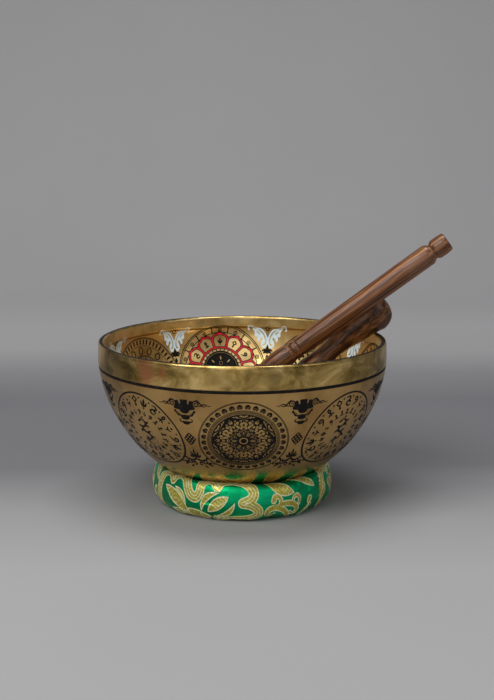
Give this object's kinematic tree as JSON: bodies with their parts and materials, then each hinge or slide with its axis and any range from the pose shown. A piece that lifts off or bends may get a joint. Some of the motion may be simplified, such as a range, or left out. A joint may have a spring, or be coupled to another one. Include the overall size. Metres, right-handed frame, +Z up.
{
  "type": "singing bowl set",
  "caption": "Engraved brass singing bowl resting on a brocade ring cushion, with a long turned wooden striker and a club-headed mallet standing in the bowl.",
  "frame": {"origin": "centre of the ring cushion's underside, on the surface that the set stands on and on the bowl's own axis", "axes": "+Z up along the bowl's axis; +X to the side that the mallets lean towards; -Y to the front, where the engraved roundel with the lattice flower faces"},
  "size_m": [0.3417, 0.2808, 0.2625],
  "materials": {
    "bowl_brass": "aged satin brass, engraved and blackened outside, lacquered yellow inside",
    "brocade": "satin brocade with metallic gold thread",
    "wadding": "cotton wadding",
    "thread": "twisted sewing thread",
    "striker_wood": "satin",
    "club_wood": "satin"
  },
  "bodies": {
    "cushion": {"cushion_cover": "brocade", "cushion_filling": "wadding", "cushion_closing_thread": "thread", "cushion_end_seam_thread": "thread"},
    "bowl": {"singing_bowl": "bowl_brass"},
    "striker": {"striker_mallet": "striker_wood"},
    "club": {"club_mallet": "club_wood"}
  },
  "joints": [
    {"name": "bowl_lift", "type": "slide", "parent": "cushion", "child": "bowl", "axis": [0, 0, 1], "range_m": [0, 0.12]},
    {"name": "striker_lift", "type": "slide", "parent": "bowl", "child": "striker", "axis": [0.7992, -0.0643, 0.5976], "range_m": [0, 0.24]},
    {"name": "club_lift", "type": "slide", "parent": "bowl", "child": "club", "axis": [0.7222, 0.1801, 0.6678], "range_m": [0, 0.24]}
  ]
}
